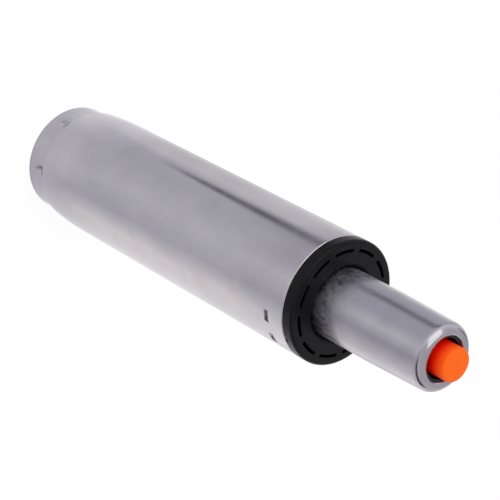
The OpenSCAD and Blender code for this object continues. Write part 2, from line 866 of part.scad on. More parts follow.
module valve_liner_seal() {
    color("#2b2b2e")
        o_ring(nose_z + nose_h * 0.55, liner_ri - seat_gap - liner_seal_d / 2, liner_seal_d);
}

// Release side: the pin with its waist and head, and the button on it

module valve_pin() {
    waist_r = waist_d / 2;
    slope = pin_r - waist_r;
    color("#cfcfd4")
        rotate_extrude()
            polygon([
                [0, pin_head_z],
                [pin_head_d / 2, pin_head_z],
                [pin_head_d / 2, pin_head_z + pin_head_h],
                [pin_r, pin_head_z + pin_head_h],
                [pin_r, waist_z],
                [waist_r, waist_z + slope],
                [waist_r, waist_z + waist_h - slope],
                [pin_r, waist_z + waist_h],
                [pin_r, pin_z1],
                [0, pin_z1]
            ]);
}

// Domed-edge cap with a guiding collar and a blind hole for the pin
module release_button() {
    hole_r = pin_r + seat_gap;
    color("#ff6a1f")
        rotate_extrude()
            polygon(concat(
                [[hole_r, button_z0], [collar_r, button_z0],
                 [collar_r, button_z0 + collar_h], [button_r, button_z0 + collar_h]],
                arc(button_r - button_edge_r, button_z1 - button_edge_r, button_edge_r, 0, 90, 8),
                [[0, button_z1], [0, pin_z1 + seat_gap], [hole_r, pin_z1 + seat_gap]]
            ));
}

column_tube();
base_plate();
guide_bush();
bearing_lower_race();
ball_cage();
bearing_balls();
piston_rod();
bearing_upper_race();
bumper_washer();
bumper();
retaining_washer();
retaining_clip();
piston_washer();
piston();
piston_seal();
piston_nut();
pressure_tube();
end_washer();
rod_guide();
rod_seal();
seal_backing_washer();
liner_seat();
cylinder_liner();
valve_body();
valve_head();
valve_gland();
valve_spacer();
valve_pin_seals();
valve_body_seal();
valve_liner_seal();
valve_pin();
release_button();
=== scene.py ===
import math
import bpy
import bmesh
import numpy as np
from mathutils import Matrix, Vector


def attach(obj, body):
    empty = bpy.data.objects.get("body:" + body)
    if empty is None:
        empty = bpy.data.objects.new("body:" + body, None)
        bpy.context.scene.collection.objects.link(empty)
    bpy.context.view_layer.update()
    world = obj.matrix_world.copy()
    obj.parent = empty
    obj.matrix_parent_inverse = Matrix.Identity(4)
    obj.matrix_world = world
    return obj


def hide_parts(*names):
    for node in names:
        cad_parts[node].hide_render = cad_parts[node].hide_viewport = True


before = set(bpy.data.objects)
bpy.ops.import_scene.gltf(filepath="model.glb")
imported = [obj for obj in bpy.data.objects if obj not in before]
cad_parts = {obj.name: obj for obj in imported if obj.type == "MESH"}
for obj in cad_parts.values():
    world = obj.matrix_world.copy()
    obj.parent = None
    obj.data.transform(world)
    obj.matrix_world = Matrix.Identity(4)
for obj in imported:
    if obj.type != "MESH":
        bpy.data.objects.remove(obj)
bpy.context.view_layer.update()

MM = 0.001
# Edges that turn by more than this many degrees are shaded as corners.
SHARP = 32

# Sizes of the lift in millimetres and degrees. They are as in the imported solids, all but RELIEF and the rounder
# FLANGE_EDGE and HOLE_LIP.
COLUMN_R, COLUMN_WALL, RIM_Z, RIM_EDGE = 25.0, 2.0, 167.2, 0.5
FOOT_R, BAND_Z, STEP_H, TAPER, TAPER_H, FOOT_EDGE = 22.8, 11.4, 1.0, 0.94, 17.6, 0.7
STAKES, STAKE_Z, STAKE_DEPTH = 6, 7.5, 1.2
LANCE_A, LANCE_PITCH, LANCE_ARC = 325.75, 24.5, 11.5
LANCE_Z0, LANCE_Z1, LANCE_IN, LANCE_SLIT = 157.1, 159.9, 1.6, 0.25
BUSH_Z0, FLANGE_Z, FLANGE_EDGE, RELIEF, BORE_R, BORE_SINK = 95.0, 172.3, 1.2, 0.4, 14.05, 1.5
SLOTS, SLOT_A, SLOT_ARC, SLOT_W, SLOT_RING, SLOT_DEPTH = 11, 281.7, 21.0, 1.2, 21.0, 9.0
NOTCH_A, NOTCH_W, NOTCH_H, NOTCH_DEPTH = 329.0, 1.8, 1.4, 0.7
TUBE_R, TUBE_WALL, TUBE_Z0, CONE_Z = 14.0, 1.8, 36.9, 196.3
ROLL_R, ROLL_X, ROLL_Z, HOLE_R, HOLE_LIP = 3.9, 9.445, 222.4, 8.595, 1.7
BUTTON_R, BUTTON_Z0, BUTTON_Z1, COLLAR_R = 6.595, 218.15, 231.3, 7.495
# Heights between which the surface is pressed in by punch marks.
MARKS_LOW, MARKS_HIGH = 3, 11
# The bush inside the column: lands, sleeve, groove for the tabs, and the radius where a rib has its half width.
# In the solid the lands are 22.95 and the groove is 21.15.
LAND_R, SLEEVE_R, GROOVE_R, RIB_R, RIB_HALF = 22.9, BORE_R + 2.6, 21.2, 20, 0.8


# ---------------------------------------------------------------- surfaces
def arc(x, y, r, a0, a1, n):
    """Points of a circle's arc: centre plus radius times (cos, sin), angle in even steps in degrees."""
    a = np.radians(np.linspace(a0, a1, n))
    return np.stack([x + r * np.cos(a), y + r * np.sin(a)], 1)


def line(*points):
    """Corner points of a profile, as rows of radius and height."""
    return np.array(points, float)


def refined(profile, step):
    """Profile with each stretch longer than step cut in equal parts: start plus a share of the difference."""
    out = []
    for a, b in zip(profile[:-1], profile[1:]):
        n = max(1, int(np.ceil(np.hypot(*(b - a)) / step)))
        out.append(a + (b - a) * np.arange(n)[:, None] / n)
    return np.concatenate(out + [profile[-1:]])


def merged(firm, loose, gap):
    """Sorted parameter lines: every firm line, and each loose one that is over gap away from all of them."""
    firm, loose = np.asarray(firm, float), np.asarray(loose, float)
    far = np.abs(loose[:, None] - firm[None, :]).min(1) > gap
    return np.sort(np.concatenate([firm, loose[far]]))


def smooth(lo, hi, x):
    """Smooth step: t clamped to 0..1 over lo..hi, then t squared times three minus two t."""
    t = np.clip((x - lo) / (hi - lo), 0, 1)
    return t * t * (3 - 2 * t)


def turned(theta, r, z):
    """Point at angle theta in degrees, radius r and height z: (r cos, r sin, z), for whole arrays."""
    a = np.radians(theta)
    return np.stack(np.broadcast_arrays(r * np.cos(a), r * np.sin(a), z), -1)


def patch(points, wrap_u=False, wrap_v=False, keep=None):
    """Quads between neighbouring points of a grid, wrapping round where asked; keep drops cells."""
    nu, nv = points.shape[:2]
    i = np.arange(nu if wrap_u else nu - 1)
    j = np.arange(nv if wrap_v else nv - 1)
    i, j = np.meshgrid(i, j, indexing="ij")
    a, b = (i + 1) % nu, (j + 1) % nv
    quads = np.stack([i * nv + j, a * nv + j, a * nv + b, i * nv + b], -1)
    quads = quads[keep] if keep is not None else quads.reshape(-1, 4)
    return points.reshape(-1, 3), quads


def piece(name, patches, body, nodes, slot, dirt_and_shade=None):
    """One closed mesh from grid patches: equal points become one, collapsed quads become triangles.

    The slot is the finish's name too. The last argument works out the dirt and the painted shade at each point.
    """
    points = np.concatenate([p for p, _ in patches])
    starts = np.cumsum([0] + [len(p) for p, _ in patches[:-1]])
    quads = np.concatenate([q + s for (_, q), s in zip(patches, starts)])
    _, first, same = np.unique(np.round(points, 5), axis=0, return_index=True, return_inverse=True)
    quads = same.reshape(-1)[quads]
    used = quads != np.roll(quads, 1, 1)
    full = quads[used.all(1)]
    thin = quads[used.sum(1) == 3]
    flags = used[used.sum(1) == 3]
    tris = thin[flags].reshape(-1, 3) if len(thin) else np.zeros((0, 3), int)
    mesh = bpy.data.meshes.new(name)
    mesh.from_pydata((points[first] * MM).tolist(), [], full.tolist() + tris.tolist())
    bm = bmesh.new()
    bm.from_mesh(mesh)
    loose = [v for v in bm.verts if not v.link_faces]
    bmesh.ops.delete(bm, geom=loose, context="VERTS")
    bmesh.ops.recalc_face_normals(bm, faces=bm.faces)
    bm.to_mesh(mesh)
    bm.free()
    mesh.polygons.foreach_set("use_smooth", np.ones(len(mesh.polygons), bool))
    mesh.set_sharp_from_angle(angle=math.radians(SHARP))
    mesh.materials.append(FINISH[slot])
    if dirt_and_shade:
        place = np.empty(len(mesh.vertices) * 3)
        mesh.vertices.foreach_get("co", place)
        layer = mesh.attributes.new("dirt_and_shade", "FLOAT", "POINT")
        layer.data.foreach_set("value", dirt_and_shade(place.reshape(-1, 3) / MM))
    obj = bpy.data.objects.new(name, mesh)
    bpy.context.scene.collection.objects.link(obj)
    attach(obj, body)
    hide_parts(*nodes)


# ---------------------------------------------------------------- materials
def add(tree, kind, **settings):
    """A node of one kind, with its settings."""
    node = tree.nodes.new(kind)
    for key, value in settings.items():
        setattr(node, key, value)
    return node


def noise(tree, stretch, scale, detail, rough, distort=0.0):
    """Noise read from object coordinates that a Mapping node stretches."""
    coord = add(tree, "ShaderNodeTexCoord")
    mapping = add(tree, "ShaderNodeMapping")
    mapping.inputs["Scale"].default_value = stretch
    tex = add(tree, "ShaderNodeTexNoise")
    tex.inputs["Scale"].default_value = scale
    tex.inputs["Detail"].default_value = detail
    tex.inputs["Roughness"].default_value = rough
    tex.inputs["Distortion"].default_value = distort
    tree.links.new(coord.outputs["Object"], mapping.inputs["Vector"])
    tree.links.new(mapping.outputs["Vector"], tex.inputs["Vector"])
    return tex.outputs["Fac"]


def ramp(tree, fac, *stops):
    """Colour ramp with the stops given as (position, (r, g, b))."""
    node = add(tree, "ShaderNodeValToRGB")
    while len(node.color_ramp.elements) < len(stops):
        node.color_ramp.elements.new(0.5)
    for element, (at, rgb) in zip(node.color_ramp.elements, stops):
        element.position = at
        element.color = (*rgb, 1)
    tree.links.new(fac, node.inputs["Fac"])
    return node.outputs["Color"]


def span(tree, fac, lo, hi, a=0.0, b=1.0):
    """Map Range from lo..hi to a..b."""
    node = add(tree, "ShaderNodeMapRange")
    for socket, value in (("From Min", lo), ("From Max", hi), ("To Min", a), ("To Max", b)):
        node.inputs[socket].default_value = value
    tree.links.new(fac, node.inputs["Value"])
    return node.outputs["Result"]


def math_of(tree, op, a, b=None):
    """Math node over one or two inputs, each a socket or a number."""
    node = add(tree, "ShaderNodeMath", operation=op)
    for i, value in enumerate((a, b)):
        if value is None:
            continue
        if isinstance(value, (int, float)):
            node.inputs[i].default_value = value
        else:
            tree.links.new(value, node.inputs[i])
    return node.outputs[0]


def blend(tree, factor, first, second, kind="MIX"):
    """Mix of two colours, each a socket or (r, g, b); the factor is a socket or a number."""
    node = add(tree, "ShaderNodeMix", data_type="RGBA", blend_type=kind)
    for i, value in ((0, factor), (6, first), (7, second)):
        if isinstance(value, tuple):
            node.inputs[i].default_value = (*value, 1)
        elif isinstance(value, (int, float)):
            node.inputs[i].default_value = value
        else:
            tree.links.new(value, node.inputs[i])
    return node.outputs[2]


def coordinates(tree, kind="Object"):
    """The X, Y and Z sockets of one kind of coordinates."""
    coord = add(tree, "ShaderNodeTexCoord")
    xyz = add(tree, "ShaderNodeSeparateXYZ")
    tree.links.new(coord.outputs[kind], xyz.inputs[0])
    return xyz.outputs


def bumped(tree, heights, shader):
    """Bump nodes in a chain, each from (height socket, strength, distance in metres)."""
    last = None
    for height, strength, distance in heights:
        node = add(tree, "ShaderNodeBump")
        node.inputs["Strength"].default_value = strength
        node.inputs["Distance"].default_value = distance
        tree.links.new(height, node.inputs["Height"])
        if last:
            tree.links.new(last, node.inputs["Normal"])
        last = node.outputs["Normal"]
    tree.links.new(last, shader.inputs["Normal"])


def new_material(name):
    """A material with its node tree and its shader."""
    mat = bpy.data.materials.new(name)
    mat.use_nodes = True
    return mat, mat.node_tree, mat.node_tree.nodes["Principled BSDF"]


def metal(name, tint, rough, cloud, brush, swing, dent, blotch, dirt_and_shade_colour=None, rubbed=None):
    """Worked metal: cloudy tint, brush lines that vary the roughness, and a fine bump from both.

    The argument before rubbed is the colour of dirt and painted shade that the mesh's attribute lays over the
    metal. rubbed gives a low, a middle and a high height in metres and the roughness that wear adds in patches at
    the middle one.
    """
    mat, tree, shader = new_material(name)
    shader.inputs["Metallic"].default_value = 1.0
    tint = np.array(tint, float)
    clouds = noise(tree, (1, 1, 0.8), blotch, detail=4.0, rough=0.6, distort=0.4)
    colour = ramp(tree, clouds, (0.3, tint * (1 - cloud)), (0.7, np.minimum(tint * (1 + cloud), 1)))
    # Dirt and painted shade, laid over the metal by the mesh's attribute.
    if dirt_and_shade_colour:
        dirt_and_shade = add(tree, "ShaderNodeAttribute", attribute_name="dirt_and_shade")
        colour = blend(tree, dirt_and_shade.outputs["Fac"], colour, dirt_and_shade_colour)
    tree.links.new(colour, shader.inputs["Base Color"])
    lines = noise(tree, brush, 1.0, detail=3.0, rough=0.6)
    both = math_of(tree, "ADD", math_of(tree, "MULTIPLY", lines, 0.6),
                   math_of(tree, "MULTIPLY", clouds, 0.4))
    sheen = span(tree, both, 0.3, 0.7, rough - swing, rough + swing)
    heights = [(lines, dent, 0.00004), (clouds, dent * 1.5, 0.0002)]
    if rubbed:
        low, middle, high, more = rubbed
        z = coordinates(tree)["Z"]
        spots = noise(tree, (1, 1, 0.7), 380, detail=5.0, rough=0.75, distort=0.5)
        ends = math_of(tree, "MINIMUM", span(tree, z, low, middle),
                       span(tree, z, middle, high, 1.0, 0.0))
        worn = math_of(tree, "MULTIPLY", ends, span(tree, spots, 0.25, 0.75))
        sheen = math_of(tree, "ADD", sheen, math_of(tree, "MULTIPLY", worn, more))
        heights.append((worn, 0.08, 0.00004))
    tree.links.new(sheen, shader.inputs["Roughness"])
    bumped(tree, heights, shader)
    return mat


def moulded(name, colour, rough, specular, grain, dent, vary, scatter=0.0, recess_shade=None):
    """Moulded plastic or rubber: slightly uneven colour and roughness over a fine eroded grain.

    The last argument gives a low and a high height in metres, and a redder colour of painted shade for the low
    one, where the part sinks into its recess.
    """
    mat, tree, shader = new_material(name)
    shader.inputs["Specular IOR Level"].default_value = specular
    if scatter:
        shader.inputs["Subsurface Weight"].default_value = scatter
        shader.inputs["Subsurface Radius"].default_value = (1.0, 0.25, 0.08)
        shader.inputs["Subsurface Scale"].default_value = 0.002
    colour = np.array(colour, float)
    flow = noise(tree, (1, 1, 1), 90, detail=3.0, rough=0.5, distort=0.6)
    paint = ramp(tree, flow, (0.3, colour * (1 - vary)), (0.7, np.minimum(colour * (1 + vary), 1)))
    # Painted shade: the plastic turns redder low down, where it sinks into its recess.
    if recess_shade:
        low, high, full = recess_shade
        paint = blend(tree, span(tree, coordinates(tree)["Z"], low, high), full, paint)
    tree.links.new(paint, shader.inputs["Base Color"])
    speck = noise(tree, (1, 1, 1), grain, detail=2.0, rough=0.5)
    tree.links.new(span(tree, speck, 0.3, 0.7, rough - 0.05, rough + 0.05), shader.inputs["Roughness"])
    bumped(tree, [(speck, dent, 0.00005)], shader)
    return mat


# Metals: tint, roughness, unevenness of the tint, stretch of the brush lines, swing of the roughness, strength
# of the bump and scale of the clouds; then the colour of dirt and painted shade, and the rubbed zone, where there
# are any.
METALS = {
    # column_steel's last colour is dirt and the painted shade in the punch marks.
    "column_steel": ((0.545, 0.532, 0.552), 0.145, 0.06, (35, 35, 700), 0.05, 0.05, 75, (0.11, 0.10, 0.10)),
    "plate_steel": ((0.50, 0.49, 0.48), 0.34, 0.10, (900, 900, 900), 0.08, 0.15, 130),
    "race_steel": ((0.60, 0.60, 0.61), 0.18, 0.03, (40, 40, 2600), 0.05, 0.05, 80),
    "cage_brass": ((0.72, 0.50, 0.20), 0.28, 0.06, (500, 500, 500), 0.07, 0.1, 150),
    "ball_steel": ((0.68, 0.68, 0.70), 0.08, 0.02, (300, 300, 300), 0.03, 0.02, 200),
    "rod_chrome": ((0.64, 0.64, 0.66), 0.10, 0.02, (40, 40, 3200), 0.04, 0.03, 60),
    "washer_steel": ((0.52, 0.51, 0.50), 0.32, 0.08, (700, 700, 700), 0.08, 0.12, 160),
    "clip_steel": ((0.16, 0.155, 0.15), 0.36, 0.10, (600, 600, 600), 0.08, 0.12, 200),
    "guide_bronze": ((0.60, 0.42, 0.22), 0.36, 0.08, (1500, 1500, 1500), 0.08, 0.2, 220),
    "tube_steel": ((0.440, 0.432, 0.460), 0.20, 0.06, (30, 30, 420), 0.03, 0.012, 90,
                   None, (0.158, 0.176, 0.194, 0.5)),
    "liner_steel": ((0.56, 0.56, 0.57), 0.24, 0.03, (40, 40, 2200), 0.06, 0.06, 70),
    # valve_alloy is tinted near black: painted shade for the dark recess round the button.
    "valve_alloy": ((0.045, 0.040, 0.042), 0.34, 0.12, (50, 50, 2600), 0.08, 0.1, 120),
}
# Plastics and rubbers: colour, roughness, specular level, scale of the grain, strength of the bump and
# unevenness of the colour; then how much light scatters inside and the redder colour of painted shade low down,
# where there are any.
PLASTICS = {
    "bush_plastic": ((0.0024, 0.0024, 0.0027), 0.30, 0.17, 1400, 0.10, 0.10),
    "bumper_rubber": ((0.012, 0.012, 0.013), 0.62, 0.35, 900, 0.30, 0.15),
    "seal_rubber": ((0.014, 0.014, 0.015), 0.48, 0.45, 1100, 0.2, 0.12),
    "seat_plastic": ((0.56, 0.55, 0.50), 0.45, 0.5, 1100, 0.12, 0.05),
    # The button's redder colour low down is painted shade in the recess round it.
    "button_plastic": ((1.0, 0.148, 0.007), 0.5, 0.12, 1300, 0.08, 0.04,
                       0.2, (0.2258, 0.2316, (1.0, 0.008, 0.0))),
}
FINISH = {name: metal(name, *values) for name, values in METALS.items()}
FINISH.update({name: moulded(name, *values) for name, values in PLASTICS.items()})


# ---------------------------------------------------------------- column tube
# Directions of a punch mark's three faces: one straight up, two at thirty degrees below the level.
COS30, SIN30 = 0.866, 0.5


def punch_depth(t, z):
    """Depth of a punch mark at t millimetres round the band and z up from the mark's middle.

    The mark's depth less a cone and the largest of three slopes makes a round dent of three faces. A shallow
    dish lies round it, and a low lip follows its edge.
    """
    cone, face, wobble, crisp, hair = 0.17, 0.28, 0.03, 6, 1e-6
    dish_depth, dish_spread, lip_height, lip_width = 0.25, 5.0, 0.12, 0.45
    pit_square, fade_r, end_r = 14, 3.2, 4.4
    away, square = np.hypot(t, z), t ** 2 + z ** 2
    slope = np.maximum(z, COS30 * np.abs(t) - SIN30 * z)
    uneven = wobble * np.sin(2.6 * t + 1.0) * np.cos(2.2 * z)
    reach = STAKE_DEPTH - cone * (away + hair) - face * slope - uneven
    pit = np.logaddexp(0, reach * crisp) / crisp
    dish = dish_depth * np.exp(-square / dish_spread)
    lip = lip_height * np.exp(-(reach / lip_width) ** 2)
    return np.where(square < pit_square, pit + dish - lip, dish) * (1 - smooth(fade_r, end_r, away))


# Smears: middle and half width in degrees, the two heights between which each comes up, the two between which
# it fades, and its strength.
SMEARS = ((262, 48, 138, 158, 170, 175, 0.13), (239, 9, 110, 150, 170, 175, 0.12),
          (200, 26, 35, 70, 105, 135, 0.18))


def column_shade_and_dirt(co):
    """Painted shade and darkening from 0 to 1, for points in millimetres.

    Painted shade grows with the depth of a punch mark on its upper faces. The face that looks up stays bright,
    and some marks get more of it than others, as a cosine of twice the angle. The foot band, its bottom edge and
    the tube just above the step are darker. Three faint darker smears lie on the tube, each a
    smooth hump over the angle times a smooth rise and fall over the height.
    """
    height, radius = co[:, 2], np.hypot(co[:, 0], co[:, 1])
    angle = np.degrees(np.arctan2(co[:, 1], co[:, 0]))
    pitch = 360 // STAKES
    off = (angle + pitch / 2) % pitch - pitch / 2
    t, z = np.radians(off) * FOOT_R, height - STAKE_Z
    shallow, full_depth, mark_half = 0.12, 0.5, 8
    deep = np.clip((FOOT_R - shallow - radius) / full_depth, 0, 1) * (radius > FOOT_R - 1.6)
    marked = (height > MARKS_LOW) & (height < MARKS_HIGH) & (np.abs(off) < mark_half)
    # Painted shade in the pits: the upper faces darken with depth, the face that looks up stays bright, and some
    # marks get more than others.
    bright_face = smooth(-0.2, 0.3, t) * smooth(-0.2, 0.3, COS30 * t - (1 + SIN30) * z)
    mark_shade = 0.6 + 0.4 * np.cos(2 * np.radians(angle + 60))
    faces = 0.02 + 0.62 * mark_shade * (1 - bright_face)
    # Darker at the foot's bottom edge, on the foot band and on the tube just above the step.
    edge = 0.3 * (1 - smooth(0.0, 1.6, height)) * (radius > FOOT_R - 1.2)
    band_darkening, tube_darkening, step_z = 0.085, 0.035, BAND_Z + STEP_H
    darkening = (band_darkening * (1 - smooth(BAND_Z - 0.5, BAND_Z, height))
            + tube_darkening * smooth(step_z, step_z + 1, height) * (1 - smooth(14, 34, height)))
    for middle, half, low, full, fading, high, much in SMEARS:
        aside = np.abs((angle - middle + 180) % 360 - 180)
        hump = much * (1 - smooth(0, half, aside))
        darkening += hump * smooth(low, full, height) * (1 - smooth(fading, high, height))
    return np.maximum(np.where(marked, deep * faces, 0), edge + darkening)


def column_outer(z):
    """Outer radius: foot band, a smooth step of one millimetre, then a parabola up to the straight tube."""
    z1 = BAND_Z + STEP_H
    taper = COLUMN_R - TAPER * np.clip((z1 + TAPER_H - z) / TAPER_H, 0, 1) ** 2
    start = COLUMN_R - TAPER
    step = FOOT_R + (start - FOOT_R) * smooth(BAND_Z - 0.1, z1 + 0.1, z)
    return np.where(z > z1 + 0.1, taper, np.minimum(step, taper))


def column_profile(windows_z):
    """Radii and heights of the closed outline, and how many of them are on the outer skin.

    Outer skin up, rounded rim, inner skin down, rounded foot edge.
    """
    up = np.concatenate([
        np.linspace(FOOT_EDGE, 4.6, 8)[:-1], np.linspace(4.6, 10.3, 44), np.linspace(10.5, 13.4, 17),
        np.linspace(14.2, 30, 16), np.linspace(34, 150, 30), [153, 155, 156.4, 156.8], windows_z,
        [160.2, 160.6, 162, 164, 166, RIM_Z - RIM_EDGE]])
    rim = arc(COLUMN_R - RIM_EDGE, RIM_Z - RIM_EDGE, RIM_EDGE, 0, 90, 7)[1:]
    down = np.concatenate([[166.8, 164, 161.5], windows_z[::-1], [156, 150], np.linspace(140, 34, 12),
                           np.linspace(30, 14, 10)])
    down_r = np.where(down > 100, COLUMN_R, column_outer(down)) - COLUMN_WALL
    foot_in = FOOT_R - COLUMN_WALL
    foot = np.concatenate([line((foot_in, 12.6), (foot_in, 8), (foot_in, 0.35), (foot_in + 0.35, 0)),
                           arc(FOOT_R - FOOT_EDGE, FOOT_EDGE, FOOT_EDGE, -90, 0, 7)[:-1]])
    r = np.concatenate([column_outer(up), rim[:, 0], down_r, foot[:, 0]])
    z = np.concatenate([up, rim[:, 1], down, foot[:, 1]])
    return r, z, len(up)


def column_tube():
    """Closed outline turned round the axis, with punch marks pressed in and windows left out.

    The walls of the windows and the bent-in tabs are patches of their own. The tube sways inwards by
    hundredths of a millimetre, as sine of three times the angle times sine of the height.
    """
    edges = [(LANCE_A + side + s * LANCE_PITCH / 2 + e * LANCE_ARC / 2) % 360
             for side in (0, 180) for s in (-1, 1) for e in (-1, 1)]
    windows = list(zip(edges[0::2], edges[1::2]))
    centres = np.arange(STAKES) * 360 / STAKES
    near = (centres[:, None] + np.linspace(-7.6, 7.6, 47)[None, :]).ravel() % 360
    rounds = (np.array(edges)[:, None] + np.array([-0.7, -0.3, 0.3, 0.7])[None, :]).ravel() % 360
    theta = merged(np.concatenate([edges, near]), np.concatenate([rounds, np.arange(0, 360, 1.6)]), 0.12)
    windows_z = np.linspace(LANCE_Z0, LANCE_Z1, 9)
    r, z, outer_count = column_profile(windows_z)
    grid_r = np.repeat(r[None, :], len(theta), 0)
    nearest = (theta[:, None] - centres[None, :] + 180) % 360 - 180
    off = nearest[np.arange(len(theta)), np.abs(nearest).argmin(1)]
    marked = (np.arange(len(z)) < outer_count) & (z < MARKS_HIGH) & (z > MARKS_LOW)
    t = np.radians(off)[:, None] * FOOT_R
    grid_r -= np.where(marked[None, :], punch_depth(t, z[None, :] - STAKE_Z), 0)
    sway = 0.02 * (np.sin(np.radians(3 * theta))[:, None] * np.sin(z / 17.0)[None, :] - 1)
    grid_r += sway * smooth(32, 50, z) * (1 - smooth(130, 150, z))
    points = turned(theta[:, None], grid_r, z[None, :])

    mid_a = (theta + np.roll(theta, -1)) / 2
    mid_z = (z + np.roll(z, -1)) / 2
    open_a = np.any([(mid_a > e0) & (mid_a < e1) for e0, e1 in windows], axis=0)
    open_z = (mid_z > LANCE_Z0) & (mid_z < LANCE_Z1)
    parts = [patch(points, True, True, ~(open_a[:, None] & open_z[None, :]))]
    through = np.array([COLUMN_R, COLUMN_R - COLUMN_WALL])[None, :]
    for e0, e1 in windows:
        across = theta[(theta >= e0 - 1e-6) & (theta <= e1 + 1e-6)]
        parts += [patch(turned(across[:, None], through, height)) for height in (LANCE_Z0, LANCE_Z1)]
        parts += [patch(turned(a, through, windows_z[:, None])) for a in (e0, e1)]
        parts += tab(e0, e1)
    return parts


def tab(e0, e1):
    """A strip of the wall bent in from its hinge line, with a slit on its other three sides.

    Its drop inwards grows with a power of the way down.
    """
    a = np.linspace(e0 + LANCE_SLIT, e1 - LANCE_SLIT, 13)
    hinge, tall = LANCE_Z1 + 0.4, LANCE_Z1 - LANCE_Z0 - LANCE_SLIT
    z = hinge - np.linspace(0, 1, 12) * (hinge - LANCE_Z0 - LANCE_SLIT)
    fall = np.clip((LANCE_Z1 - z) / tall, 0, 1)
    outer = COLUMN_R - 0.04 - LANCE_IN * fall ** 2.2
    inner = outer - COLUMN_WALL + 0.3
    top = turned(a[:, None], outer[None, :], z[None, :])
    under = turned(a[:, None], inner[None, :], z[None, :])
    sides = [np.stack([top[i], under[i]], 0) for i in (0, -1)]
    ends = [np.stack([top[:, j], under[:, j]], 0) for j in (0, -1)]
    return [patch(g) for g in [top, under] + sides + ends]


# ---------------------------------------------------------------- guide bush
def bush_profile():
    """Closed outline of the bush, and how many of its points come before, up to and past the face's own.

    Flange side up, rounded edge, face inwards, mouth, bore down, then lands, sleeve and the tabs' groove up.
    A shallow relief runs round the flange where it meets the column's rim.
    """
    fine = 0.075
    face_r = np.concatenate([[23.1, 22.8, 22.5, 22.2], np.arange(21.9, 21.3, -fine), [21.2, 21.0, 20.8],
                             np.arange(20.7, 20.1, -fine), [19.8, 19.0, 18.0, 17.0, 16.2]])
    side = np.concatenate([
        line((COLUMN_R - RELIEF, RIM_Z + 0.02), (COLUMN_R - RELIEF, RIM_Z + 0.4), (COLUMN_R, RIM_Z + 0.5)),
        np.stack([np.full(8, COLUMN_R), np.linspace(RIM_Z + 0.7, FLANGE_Z - FLANGE_EDGE - 0.2, 8)], 1)])
    edge = arc(COLUMN_R - FLANGE_EDGE, FLANGE_Z - FLANGE_EDGE, FLANGE_EDGE, 0, 90, 9)
    face = np.stack([face_r, np.full(len(face_r), FLANGE_Z)], 1)
    mouth = np.concatenate([line((15.75, FLANGE_Z - 0.03), (15.5, FLANGE_Z - 0.12)),
                            refined(line((15.3, FLANGE_Z - 0.3), (BORE_R, FLANGE_Z - BORE_SINK)), 0.4)])
    eased = BORE_R + 0.4
    bore = line((BORE_R, FLANGE_Z - 3), (BORE_R, 154.3), (eased, 153.9), (eased, 113.4), (BORE_R, 113),
                (BORE_R, 100), (BORE_R, BUSH_Z0 + 0.4), (eased, BUSH_Z0))
    outside = line((LAND_R - 0.4, BUSH_Z0), (LAND_R, BUSH_Z0 + 0.4), (LAND_R, BUSH_Z0 + 4),
                   (SLEEVE_R, BUSH_Z0 + 4.05), (SLEEVE_R, 110), (SLEEVE_R, 125), (SLEEVE_R, 140),
                   (SLEEVE_R, 152.15), (LAND_R, 152.2), (LAND_R, 156.8), (GROOVE_R, 156.85),
                   (GROOVE_R, 160.15), (LAND_R, 160.2), (LAND_R, RIM_Z))
    before = len(side) + len(edge)
    return np.concatenate([side, edge, face, mouth, bore, outside]), len(side), before, before + len(face)


def guide_bush():
    """Closed profile turned round the axis; slots sink the face, ribs and the notch change the radius."""
    pitch = 360 / SLOTS
    centres = SLOT_A + np.arange(SLOTS) * pitch
    ends = np.concatenate([np.linspace(-SLOT_ARC / 2 - 2.2, -SLOT_ARC / 2 + 0.8, 15),
                           np.linspace(SLOT_ARC / 2 - 0.8, SLOT_ARC / 2 + 2.2, 15)])
    rib_edges = pitch / 2 + np.array([-1.0, -0.5, 0, 0.5, 1.0]) * math.degrees(RIB_HALF / RIB_R)
    firm = (centres[:, None] + np.concatenate([ends, rib_edges])[None, :]).ravel() % 360
    notch = NOTCH_A + np.linspace(-1.5, 1.5, 9) * math.degrees(NOTCH_W / 2 / COLUMN_R)
    theta = merged(np.unique(np.round(firm, 4)), np.concatenate([notch, np.arange(0, 360, 1.5)]), 0.1)
    profile, side_end, face_start, face_end = bush_profile()
    r = np.repeat(profile[None, :, 0], len(theta), 0)
    z = np.repeat(profile[None, :, 1], len(theta), 0)
    off = (theta[:, None] - centres[None, :] + 180) % 360 - 180
    off = off[np.arange(len(theta)), np.abs(off).argmin(1)]
    past = np.clip(np.abs(off) - SLOT_ARC / 2, 0, None)[:, None]
    reach = np.hypot(np.radians(past) * SLOT_RING, r - SLOT_RING) - SLOT_W / 2
    sink = (1 - smooth(-0.1, 0.06, reach)) * SLOT_DEPTH + 0.12 * (1 - smooth(0.0, 0.32, reach))
    z[:, face_start:face_end] -= sink[:, face_start:face_end]
    rib = 1 - smooth(RIB_HALF - 0.05, RIB_HALF + 0.05, np.radians(np.abs(np.abs(off) - pitch / 2)) * RIB_R)
    r[:, profile[:, 0] == SLEEVE_R] += (rib * (LAND_R - 0.1 - SLEEVE_R))[:, None]
    arc_off = np.radians((theta - NOTCH_A + 180) % 360 - 180) * COLUMN_R
    cut = (1 - smooth(NOTCH_W / 2 - 0.12, NOTCH_W / 2 + 0.12, np.abs(arc_off)))[:, None]
    low = (np.arange(len(profile)) < side_end) & (profile[:, 1] < RIM_Z + NOTCH_H)
    r -= cut * low[None, :] * NOTCH_DEPTH
    return [patch(turned(theta[:, None], r, z), True, True)]


# ---------------------------------------------------------------- pressure tube and button
def revolved(profile, step, closed):
    """Profile of radius and height turned round the axis in steps of so many degrees; closed joins its ends."""
    theta = np.arange(0, 360, step)
    return patch(turned(theta[:, None], profile[None, :, 0], profile[None, :, 1]), True, closed)


